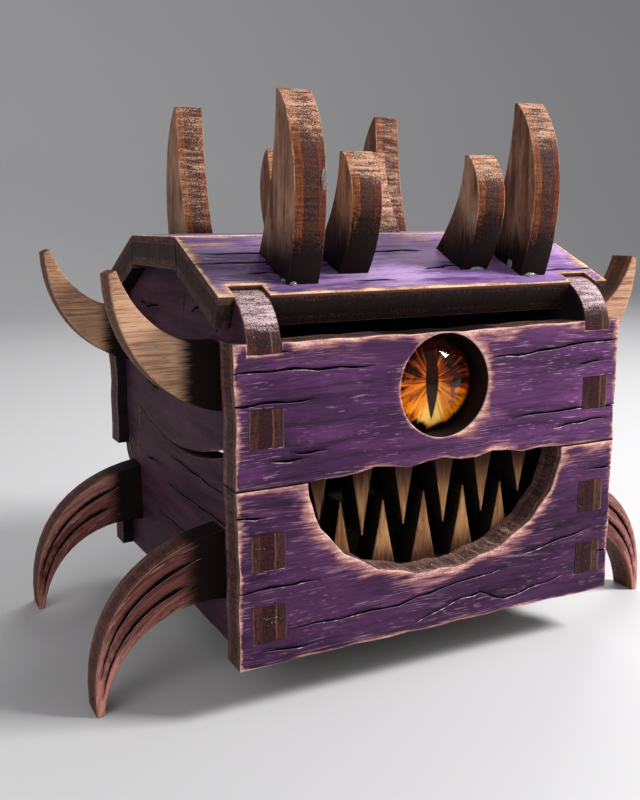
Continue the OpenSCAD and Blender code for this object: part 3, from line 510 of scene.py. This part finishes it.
def plate_axes(bm, grain):
    """The plate's frame: along the grain, across it and out through its widest faces."""
    areas = {}
    for f in bm.faces:
        n = f.normal
        key = tuple(round(abs(c), 2) for c in n)
        areas.setdefault(key, [0.0, n.copy()])[0] += f.calc_area()
    through = max(areas.values(), key=lambda a: a[0])[1].normalized()
    along = (grain - through * grain.dot(through)).normalized()
    return along, through.cross(along).normalized(), through


def kind_of(face, through, low, high):
    """FACE, CUT or CRACK: what a face of the plate is, by its slant and depth."""
    depths = [through.dot(v.co) for v in face.verts]
    if abs(face.normal.dot(through)) > 0.999:
        outer = min(abs(depths[0] - low), abs(depths[0] - high)) < SURFACE_MM
        return FACE if outer else CRACK
    return CRACK if max(depths) - min(depths) < ENGRAVING_MM else CUT


def loops_of(edges):
    """Groups edges that share a vertex."""
    left, groups = set(edges), []
    while left:
        group, stack = [], [left.pop()]
        while stack:
            e = stack.pop()
            group.append(e)
            for v in e.verts:
                for other in v.link_edges:
                    if other in left:
                        left.remove(other)
                        stack.append(other)
        groups.append(group)
    return groups


def is_slot(group):
    """Whether a loop of edges is a tenon's slot."""
    corners = np.array([v.co[:] for e in group for v in e.verts])
    return max(corners.max(0) - corners.min(0)) < SLOT_MM


def nearest(points, segments):
    """Least distance, over its weight, from each 2-D point to the segments (start, end, weight)."""
    best = np.full(len(points), FARTHEST_MM)
    for a, b, w in segments:
        d = b - a
        t = np.clip(((points - a) @ d) / max(d @ d, 1e-12), 0, 1)
        best = np.minimum(best, np.linalg.norm(points - a - t[:, None] * d, axis=1) / w)
    return best


def nothing(p):
    return 0.0


def dress(node, kind, grain, outward, wear=0.15, soot_and_shade=nothing, scorch=nothing, stain_and_light=nothing,
          bend=None, step=GRID_MM):
    """Stands a finished plate in for a CAD node: the same solid with rubbed corners, a fine grid
    and the attributes that its materials read. outward is the direction of its outer side. At a
    point p, in millimetres, char(p) gives the soot and the painted shade, scorch(p) the scorch or
    rub of its cut edge, fade(p) how much lighter the colour is, by a thinner stain or by painted
    light, wear or wear(p) how far the bare wood reaches and bend(p) the place along and across a
    curved grain."""
    bm = bmesh.new()
    bm.from_mesh(frame["nodes"][node].data)
    bmesh.ops.scale(bm, vec=(1 / MM,) * 3, verts=bm.verts)
    bmesh.ops.remove_doubles(bm, verts=bm.verts, dist=MERGE_MM)
    bmesh.ops.dissolve_limit(bm, angle_limit=math.radians(STRAIGHT_DEGREES), verts=bm.verts,
                             edges=bm.edges)
    bm.normal_update()
    along, across, through = plate_axes(bm, grain)
    if outward.dot(through) < 0:
        through, across = -through, -across
    depths = [through.dot(v.co) for v in bm.verts]
    low, high = min(depths), max(depths)
    for f in bm.faces:
        f.material_index = kind_of(f, through, low, high)

    # the edges of the outline, of the tenons' slots and of the cracks
    outline, crack_rim = [], []
    for e in bm.edges:
        if len(e.link_faces) == 2:
            pair = {f.material_index for f in e.link_faces}
            if pair == {FACE, CUT}:
                outline.append(e)
            elif pair == {FACE, CRACK}:
                crack_rim.append(e)
    slot_set = {e for group in loops_of(outline) if is_slot(group) for e in group}
    slots = [e for e in outline if e in slot_set]
    rubbed = [e for e in outline if e not in slot_set]

    def flat(p):
        return np.array((along.dot(p), across.dot(p)))

    def segment(e, weight):
        return flat(e.verts[0].co), flat(e.verts[1].co), weight

    def reach_at(e):
        return wear((e.verts[0].co + e.verts[1].co) / 2) if callable(wear) else wear

    def faces_up(e):
        wall = next(f for f in e.link_faces if f.material_index != FACE)
        return wall.normal.z > 0.5 or (abs(through.z) > 0.8 and wall.normal.y > 0.5)

    ends = [segment(e, reach_at(e)) for e in rubbed]
    rims = [segment(e, 1.0) for e in crack_rim]
    # the up-facing lips get the pale lip material: chipped wood and a painted highlight of the
    # light from above
    lit_lips = [e for e in crack_rim + slots if faces_up(e) and e.calc_length() > SHORTEST_LIP_MM]

    # corners and lips, then the grid
    bmesh.ops.bevel(bm, geom=rubbed, offset=ARRIS_MM, offset_type="OFFSET", segments=2,
                    profile=0.5, affect="EDGES", clamp_overlap=False, material=FACE)
    lit_lips = [e for e in lit_lips if e.is_valid]
    bmesh.ops.bevel(bm, geom=lit_lips, offset=LIP_MM, offset_type="OFFSET", segments=1,
                    profile=0.5, affect="EDGES", clamp_overlap=False, material=LIP)
    for direction in (along, across):
        reach = [direction.dot(v.co) for v in bm.verts]
        line = math.ceil(min(reach) / step) * step + GRID_SHIFT * step
        while line < max(reach):
            bmesh.ops.bisect_plane(bm, geom=bm.verts[:] + bm.edges[:] + bm.faces[:], dist=1e-4,
                                   plane_co=direction * line, plane_no=direction)
            line += step
    bmesh.ops.triangulate(bm, faces=[f for f in bm.faces if len(f.verts) > 4])

    # the attributes that the materials read
    points = np.array([v.co[:] for v in bm.verts])
    places = [Vector(p) for p in points]
    plane = np.column_stack([points @ np.array(along), points @ np.array(across)])
    depth = points @ np.array(through) - low
    fields = {
        "edge_d": nearest(plane, ends),
        "crk": nearest(plane, rims),
        "ply": depth / (high - low),
        "soot_and_shade": np.array([soot_and_shade(p) for p in places]),
        "scorch": np.array([scorch(p) for p in places]),
        "stain_and_light": np.array([stain_and_light(p) for p in places]),
    }
    seed = sum(ord(c) * (i + 1) for i, c in enumerate(node)) % GRAIN_SEEDS
    course = np.array([bend(p) for p in places]) if bend else plane
    grain_place = np.column_stack([course, depth]) + seed * GRAIN_JUMP_MM

    bmesh.ops.scale(bm, vec=(MM,) * 3, verts=bm.verts)
    piece = add_object(node + "_dressed", bm)
    mesh = piece.data
    mesh.polygons.foreach_set("use_smooth", [True] * len(mesh.polygons))
    mesh.set_sharp_from_angle(angle=math.radians(SHARP_DEGREES))
    for name, values in fields.items():
        attribute = mesh.attributes.new(name, "FLOAT", "POINT")
        attribute.data.foreach_set("value", values.astype(np.float32))
    attribute = mesh.attributes.new("gr", "FLOAT_VECTOR", "POINT")
    attribute.data.foreach_set("vector", grain_place.astype(np.float32).ravel())
    for material in MATERIALS[kind]:
        mesh.materials.append(material)
    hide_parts(node)
    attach(piece, frame["nodes"][node]["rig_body"])


# ---------------------------------------------------------------- zones of wear and soot

EYE_LOW, EYE_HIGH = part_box("eye_glass")
EYE_MID_MM = (EYE_LOW + EYE_HIGH) / 2 / MM
SIDE_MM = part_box("lid_side_right")[1].x / MM        # outer face of a side plate
SEAM_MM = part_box("base_front")[1].z / MM            # where the lid's front meets the base's
LID_TOP_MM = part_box("lid_front")[1].z / MM
EAVE_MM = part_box("roof_front")[0].z / MM

MOUTH_HALF_MM = 18.3                                # half the width of the zone round the mouth
MOUTH_RIM_MM = 11                                   # above this the mouth's rim is worn,
MOUTH_MID_MM = 16                                   # and a little less above this
MOUTH_CUT_MM = 8                                    # a cut edge above this is the mouth's own
BASE_BOTTOM_MM = 7                                  # below this lies the base's lower border
SEAM_BAND_MM = 0.5                                  # height of the border below the seam
EYE_HALF_MM = (8, 7)                                # half the zone round the eye, across and up
MORE_WORN_MM = 2                                    # the lid's front is worn more, right of this
LID_LOWER_MM = SEAM_MM + 2                          # below this lies the lid front's lower border
LID_UPPER_MM = SEAM_MM + 14                         # and above this its upper one
NOTCH_MM = SEAM_MM + 12                             # above this lie the notches
ROOF_END_MM, ROOF_EDGE_MM = 26, 20.6                # beyond these lie the roof's ends and eaves
LEG_BEND_MM = (SIDE_MM - 1, -2.0)                   # a leg's fibres curve round here, x and z
LEG_BEND_R_MM = 15.0


def ramp(value, low, high):
    """0 at low or beyond it, 1 at high or beyond it, straight between."""
    return max(0.0, min(1.0, (value - low) / (high - low)))


def near_eye(p):
    return abs(p.x) < EYE_HALF_MM[0] and abs(p.z - EYE_MID_MM.z) < EYE_HALF_MM[1]


def wear_base_front(p):
    """Wide round the mouth and along the seam, narrow elsewhere."""
    if abs(p.x) < MOUTH_HALF_MM and p.z > MOUTH_RIM_MM:
        return 1.8 if p.z > MOUTH_MID_MM else 2.2
    if p.z > SEAM_MM - SEAM_BAND_MM:
        return 1.4
    return 0.5 if p.z < BASE_BOTTOM_MM else 0.6


def wear_lid_front(p):
    """Wide along the top and at the eye's right, least in the notches for the bent corners."""
    if near_eye(p):
        return 1.7 if p.x > MORE_WORN_MM else 0.6
    if abs(abs(p.x) - SIDE_MM + 2) < 3 and p.z > NOTCH_MM:
        return 0.2
    if p.z < LID_LOWER_MM:
        return 0.9 if p.x > MORE_WORN_MM else 0.4
    return 1.5 if p.z > LID_UPPER_MM else 0.65


def wear_roof(p):
    return 1.5 if abs(p.x) > ROOF_END_MM else 0.8


def seam_shade(p):
    """The dark line along the seam under the lid, beside the mouth."""
    if abs(p.x) > 17 and p.z > SEAM_MM - 0.01:
        return 0.9 * (1 - ramp(p.z - SEAM_MM, 0.15, 0.5))
    return 0.0


def front_stain_and_light(p):
    """Darker on the base; towards the lid's right lighter, partly a thinner stain and partly
    painted light from the right.
    """
    if p.z < SEAM_MM:
        return -0.34
    return 0.40 * ramp(p.x, -6, 20) - 0.10


def roof_painted_light(p):
    """Painted light and shade: lighter towards the right and the top of the roof where the sheen
    lies, darker at its left where the horns shade it.
    """
    return -0.35 + 0.75 * ramp(p.x + (p.z - EAVE_MM) * 1.2, -20, 14)


def fade_leg(p):
    """Lighter towards the foot."""
    return 0.7 * (1 - ramp(p.z, 0.5, 8))


def eave_scorch(p):
    """Near-black along the roof's lowest edges, brown-grey at its ends."""
    return 0.55 if abs(p.y) > ROOF_EDGE_MM and abs(p.x) < ROOF_END_MM else 0.05


def hole_scorch(p):
    """Near-black in the eye's hole; along the mouth paler at its bottom and darker towards its top.
    """
    if near_eye(p):
        return 1.1
    if abs(p.x) < MOUTH_HALF_MM and MOUTH_CUT_MM < p.z < SEAM_MM - SEAM_BAND_MM:
        return 0.5 * ramp(p.z, 15, 22) - 0.30
    return 0.0


def strap_rub(p):
    """Paint rubbed off the bent corners that hold the roof."""
    return -0.55 * ramp(p.z, LID_TOP_MM + 0.8, LID_TOP_MM + 1.8) if p.y < -16 else 0.0


def horn_root_shade(p):
    """Painted shadow at the root of a side horn, cast there by the plates of the box."""
    return 1 - ramp(abs(p.x), SIDE_MM + 2.2, SIDE_MM + 6.6)


def leg_root_shade(p):
    """Painted shadow at the root of a leg, cast there by the plates of the box."""
    return 0.9 * (1 - ramp(abs(p.x), SIDE_MM + 2.5, SIDE_MM + 7.0))


def leg_grain(p):
    """The place along and across the fibres of a leg, which curve with it round its armpit."""
    x, z = abs(p.x) - LEG_BEND_MM[0], p.z - LEG_BEND_MM[1]
    return math.atan2(z, x) * LEG_BEND_R_MM, math.hypot(x, z)


def top_root(height):
    """Soot at the foot of a top horn, up to so many millimetres above the roof's front edge."""
    def soot(p):
        return 0.9 * (1 - ramp(p.z - EAVE_MM, height * 0.35, height))
    return soot


def top_edge(pale_from, dark, full, clean, pale):
    """A top horn's edge: scorched by dark up to the height full, less and less up to clean, and
    made paler by pale above pale_from: rubbed wood, and on the small back horns a painted
    highlight."""
    def scorch(p):
        return dark * (1 - ramp(p.z, full, clean)) - pale * ramp(p.z, pale_from, pale_from + 2.5)
    return scorch


def tooth_root(clean, dark):
    """Brown streaks at the roots of the teeth, from the height clean to the height dark."""
    def soot(p):
        return 0.75 * ramp(p.z, clean, dark)
    return soot


TOP_ROOTS = {"tall": top_root(15.0), "small": top_root(17.0)}
TOP_EDGES = {"tall_front": top_edge(62.5, dark=0.50, full=50, clean=60, pale=0.45),
             "tall_back": top_edge(52, dark=0.2, full=50, clean=56, pale=0.35),
             "small_front": top_edge(57.5, dark=0.55, full=55, clean=60, pale=0.5),
             # the small back horns' edges are pale from low down: a painted highlight of the light
             # from behind and above
             "small_back": top_edge(50, dark=0.0, full=50, clean=51, pale=0.5)}


def make_plates():
    fronts = (("base", wear_base_front, nothing), ("lid", wear_lid_front, seam_shade))
    for part, wear, shade in fronts:
        dress(part + "_front", "purple", X, -Y, wear, shade, hole_scorch, front_stain_and_light)
        dress(part + "_back", "purple", X, Y, 0.8)
        for side, out in (("left", -X), ("right", X)):
            dress(f"{part}_side_{side}", "side_" + side, Y, out, 0.35,
                  scorch=strap_rub)
    for third in ("front", "top", "back"):
        dress("roof_" + third, "roof", X, Z, wear_roof, scorch=eave_scorch,
              stain_and_light=roof_painted_light)
    dress("base_floor", "plain", X, Z)
    for side in ("left", "right"):
        dress(f"hinge_lug_{side}", "plain", Y, X)
        dress(f"hinge_pin_{side}", "plain", Y, X)
        for end in ("front", "back"):
            dress(f"leg_{end}_{side}", "leg", X, -Y, soot_and_shade=leg_root_shade, stain_and_light=fade_leg,
                  bend=leg_grain, step=FINE_GRID_MM)
            dress(f"side_horn_{end}_{side}", "side_horn", X, -Y, soot_and_shade=horn_root_shade,
                  step=FINE_GRID_MM)
            for size in ("tall", "small"):
                dress(f"{size}_horn_{end}_{side}", "top_horn", Z, X,
                      soot_and_shade=TOP_ROOTS[size], scorch=TOP_EDGES[f"{size}_{end}"], step=FINE_GRID_MM)
    for row, dark in (("upper", SEAM_MM - 1), ("lower", SEAM_MM - 13)):
        dress(row + "_teeth", "tooth", Z, -Y, soot_and_shade=tooth_root(SEAM_MM - 7, dark),
              step=TOOTH_GRID_MM)


# ---------------------------------------------------------------- the eye

IRIS_GAP_MM = 0.03          # between the printed disc and the lens
PRINT_SHIFT_MM = 0.35       # the print sits this far to the right of the lens's middle
LATHE_TURNS = 96
DOME_STEPS, DISC_RINGS = 28, 12
RIM_MM, RIM_EDGE_MM = 0.6, 0.15             # height of the lens's rim and rounding of its edge
SLIT_MID, SLIT_HALF_H, SLIT_HALF_W = 0.04, 0.74, 0.125      # the slit, in radii of the print
SLIT_TAPER = 1.7
RAY_SCALE = (5.5, 5.5, 5.5)                 # how fine the fibres are, round the print
GLINT_PLACE = (0.0, -0.64, 0.0)             # the bright spot under the slit, in radii


def iris_material():
    """Orange fibres round a black slit, darker above, with a black rim. The print glows a little:
    painted light that stands in for the lamps' light, which the glass dome keeps from it. The
    print's own coordinates, 0 at its middle and 1 at its radius, have x to the right and y up."""
    s = Shader("iris")
    place = s.attribute("eye", vector=True)
    x, z = (s.node("SeparateXYZ", {0: place}, axis) for axis in (0, 1))
    radius = s.vector("LENGTH", place, output="Value")
    ray = s.vector("MULTIPLY", s.vector("NORMALIZE", place), RAY_SCALE)
    ray = s.vector("ADD", ray, s.node("CombineXYZ", {"Z": s.times(radius, 1.6)}))
    fibres = s.node("TexNoise", {"Vector": ray, "Scale": 1.0, "Detail": 4, "Roughness": 0.6,
                                 "Distortion": 0.5}, "Fac")
    blots = s.node("TexNoise", {"Vector": place, "Scale": 3.2, "Detail": 2}, "Fac")

    # how bright the fibres glow: less outwards and upwards, more beside the slit and below it
    glow = s.minus(0.64, s.times(radius, 0.45))
    glow = s.add(glow, s.spread(fibres, 2.7))
    glow = s.minus(glow, s.times(z, 0.80))
    glow = s.minus(glow, s.times(s.band(blots, 0.54, 0.66), 0.25))
    halo = s.under(s.math("ABSOLUTE", x), 0.06, 0.42)
    below = s.under(z, -0.5, 0.2)
    glow = s.add(glow, s.times(halo, s.add(0.08, s.times(below, 0.30))))
    colour = s.mix(s.band(glow, 0.05, 0.42), srgb(36, 11, 7), srgb(146, 56, 12))
    colour = s.mix(s.band(glow, 0.42, 0.84), colour, srgb(238, 134, 20))
    colour = s.mix(s.band(glow, 0.92, 1.40), colour, srgb(255, 200, 96))

    # the rim, the spot under the slit and the slit
    rim = s.band(s.add(radius, s.spread(fibres, 0.5)), 0.72, 0.86)
    colour = s.mix(rim, colour, srgb(7, 4, 4))
    glint = s.under(s.vector("DISTANCE", place, GLINT_PLACE, "Value"), 0.04, 0.26)
    colour = s.mix(s.times(glint, 0.8), colour, srgb(255, 206, 112))
    from_mid = s.math("ABSOLUTE", s.math("DIVIDE", s.minus(z, SLIT_MID), SLIT_HALF_H))
    taper = s.minus(1.0, s.math("POWER", from_mid, SLIT_TAPER))
    slit = s.minus(s.math("ABSOLUTE", x), s.times(taper, SLIT_HALF_W))
    colour = s.mix(s.under(slit, -0.012, 0.022), colour, srgb(40, 12, 6))
    # the emission is painted light, so that the print behind the glass looks lit
    return s.finish(Base_Color=colour, Roughness=0.8, Specular_IOR_Level=0.0,
                    Emission_Color=colour, Emission_Strength=0.35)


def clear_material(name, tint, index, roughness, clear):
    """Clear glass or glue, whose index sets how much of the pale room it mirrors."""
    s = Shader(name)
    dust = s.noise(s.node("TexCoord", {}, "Object"), (900, 900, 900), 2)
    colour = s.mix(dust, srgb(*tint), (1, 1, 1, 1))
    return s.finish(Base_Color=colour, Roughness=roughness, Transmission_Weight=clear, IOR=index)


def lathe(name, profile, centre):
    """Turns a profile of (radius, height towards the front) about the eye's axis."""
    bm = bmesh.new()
    rings = []
    for r, h in profile:
        if r < 1e-6:
            rings.append([bm.verts.new(centre + Vector((0, -h, 0)))])
        else:
            rings.append([bm.verts.new(centre + Vector((r * math.cos(a), -h, r * math.sin(a))))
                          for a in (2 * math.pi * i / LATHE_TURNS for i in range(LATHE_TURNS))])
    for inner, outer in zip(rings, rings[1:]):
        for i in range(LATHE_TURNS):
            j = (i + 1) % LATHE_TURNS
            corners = [inner[i % len(inner)], inner[j % len(inner)],
                       outer[j % len(outer)], outer[i % len(outer)]]
            bm.faces.new(list(dict.fromkeys(corners))).smooth = True
    bmesh.ops.recalc_face_normals(bm, faces=bm.faces)
    return add_object(name, bm)


def print_on(piece, centre, radius):
    """Gives a piece the print's coordinates, which iris_material reads."""
    middle = centre + X * PRINT_SHIFT_MM * MM
    places = [((v.co.x - middle.x) / radius, (v.co.z - middle.z) / radius, 0.0)
              for v in piece.data.vertices]
    attribute = piece.data.attributes.new("eye", "FLOAT_VECTOR", "POINT")
    attribute.data.foreach_set("vector", np.array(places, np.float32).ravel())


def make_eye():
    """A clear dome over a printed disc. The dome's back carries the print too, as glass glued to
    paper shows it without a gap between."""
    rim_r = (EYE_HIGH.x - EYE_LOW.x) / 2
    height = EYE_HIGH.y - EYE_LOW.y
    back = Vector((0, EYE_HIGH.y, (EYE_LOW.z + EYE_HIGH.z) / 2))
    rim_edge = RIM_EDGE_MM * MM
    dome_h = height - RIM_MM * MM
    dome_r = (rim_r ** 2 + dome_h ** 2) / (2 * dome_h)
    widest = math.asin(rim_r / dome_r)
    dome = [(dome_r * math.sin(widest * (1 - i / DOME_STEPS)),
             height - dome_r + dome_r * math.cos(widest * (1 - i / DOME_STEPS)))
            for i in range(DOME_STEPS + 1)]
    dome[-1] = (0, height)
    foot = [(0, 0), (rim_r - rim_edge, 0), (rim_r, rim_edge)]
    glass = lathe("eye_dome", foot + dome, back)
    print_on(glass, back, rim_r)
    iris = iris_material()
    glass.data.materials.append(clear_material("clear_glass", (250, 250, 250), 1.3, 0.0, 1.0))
    glass.data.materials.append(iris)
    for face in glass.data.polygons:
        face.material_index = int(face.normal.y > 0.9)
    glass.data.set_sharp_from_angle(angle=math.radians(35))
    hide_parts("eye_glass")
    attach(glass, "lid")

    disc_low, disc_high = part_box("eye_iris")
    disc_r = (disc_high.x - disc_low.x) / 2
    front = disc_high.y - disc_low.y - IRIS_GAP_MM * MM
    disc_back = Vector((0, disc_high.y, back.z))
    rings = [(disc_r * i / DISC_RINGS, front) for i in range(DISC_RINGS + 1)]
    disc = lathe("eye_print", rings + [(disc_r, 0), (0, 0)], disc_back)
    print_on(disc, disc_back, disc_r)
    disc.data.materials.append(iris)
    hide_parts("eye_iris")
    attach(disc, "lid")


# ---------------------------------------------------------------- glue

RAY_FRONT_MM, RAY_TOP_MM = -40, 90          # rays start here, in front of the box and above it
SINK_MM = 0.12                              # how deep the drop on the tall horn sits in it
LUMPS = 0.22                                # how far a drop swells and shrinks
DROP_CORNER_MM = (-14.5, 59.2)              # x and z of the drop on the tall horn

# At a horn's front: x and half the width.
FRONT_DROPS = {"small_horn_front_right": (8.9, 1.0), "tall_horn_front_right": (15.8, 1.1),
               "tall_horn_front_left": (-17.4, 0.5)}
# At a horn's side: x, how far behind the horn's front, half the length and half the height.
SIDE_DROPS = (("small_horn_front_right", "_side", 10.6, 0.4, 0.5, 0.45),
              ("tall_horn_front_right", "_side", 14.2, 2.2, 0.5, 0.75),
              ("tall_horn_front_left", "_side_a", -18.2, 0.8, 0.6, 0.22),
              ("tall_horn_front_left", "_side_b", -18.2, 3.2, 1.1, 0.18))


def solid_of(node):
    """A CAD node to cast rays at, in millimetres."""
    bm = bmesh.new()
    bm.from_mesh(frame["nodes"][node].data)
    bmesh.ops.scale(bm, vec=(1 / MM,) * 3, verts=bm.verts)
    tree = BVHTree.FromBMesh(bm)
    bm.free()
    return tree


def glue_drop(name, place, radii, material):
    """A soft uneven drop of clear glue about a place, both in millimetres."""
    bm = bmesh.new()
    bmesh.ops.create_icosphere(bm, subdivisions=4, radius=1.0)
    for v in bm.verts:
        swell = 1 + LUMPS * noise.noise(v.co * 1.3 + Vector(place))
        v.co = (Vector(place) + Vector([c * r * swell for c, r in zip(v.co, radii)])) * MM
    for f in bm.faces:
        f.smooth = True
    drop = add_object(name, bm)
    drop.data.materials.append(material)
    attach(drop, "lid")


def make_glue():
    """Squeezed-out glue at the feet of the front top horns and one drop on a tall one."""
    # a little milky and pale (0.85 clear): a painted sheen, so that the drops read bright
    clear = clear_material("clear_glue", (236, 226, 240), 1.5, 0.10, 0.85)
    roof = solid_of("roof_front")
    horns = {horn: solid_of(horn) for horn in FRONT_DROPS}

    def roof_at(x, y):
        return roof.ray_cast(Vector((x, y, RAY_TOP_MM)), -Z)[0].z

    def front_at(horn, x, z):
        return horns[horn].ray_cast(Vector((x, RAY_FRONT_MM, z)), Y)[0]

    feet = {}
    for horn, (x, half_w) in FRONT_DROPS.items():
        height = EAVE_MM + 6.0
        for _ in range(8):                  # walks down to where the horn's front meets the roof
            y = front_at(horn, x, height).y
            height = roof_at(x, y - 0.1) + 0.1
        feet[horn] = y
        glue_drop(horn + "_glue", (x, y, height), (half_w, 0.40, 0.20 + 0.18 * half_w), clear)
    for horn, mark, x, behind, half_l, half_h in SIDE_DROPS:
        y = feet[horn] + behind
        place = (x, y, roof_at(x, y) + half_h * 0.4)
        glue_drop(horn + mark + "_glue", place, (0.28, half_l, half_h), clear)
    corner = front_at("tall_horn_front_left", *DROP_CORNER_MM)
    glue_drop("tall_left_drop", (corner.x, corner.y + SINK_MM, corner.z), (0.42, 0.40, 1.15), clear)


MATERIALS = make_materials()
make_camera()
make_lights()
make_floor()
make_plates()
make_eye()
make_glue()

bpy.context.scene.view_settings.view_transform = "Standard"
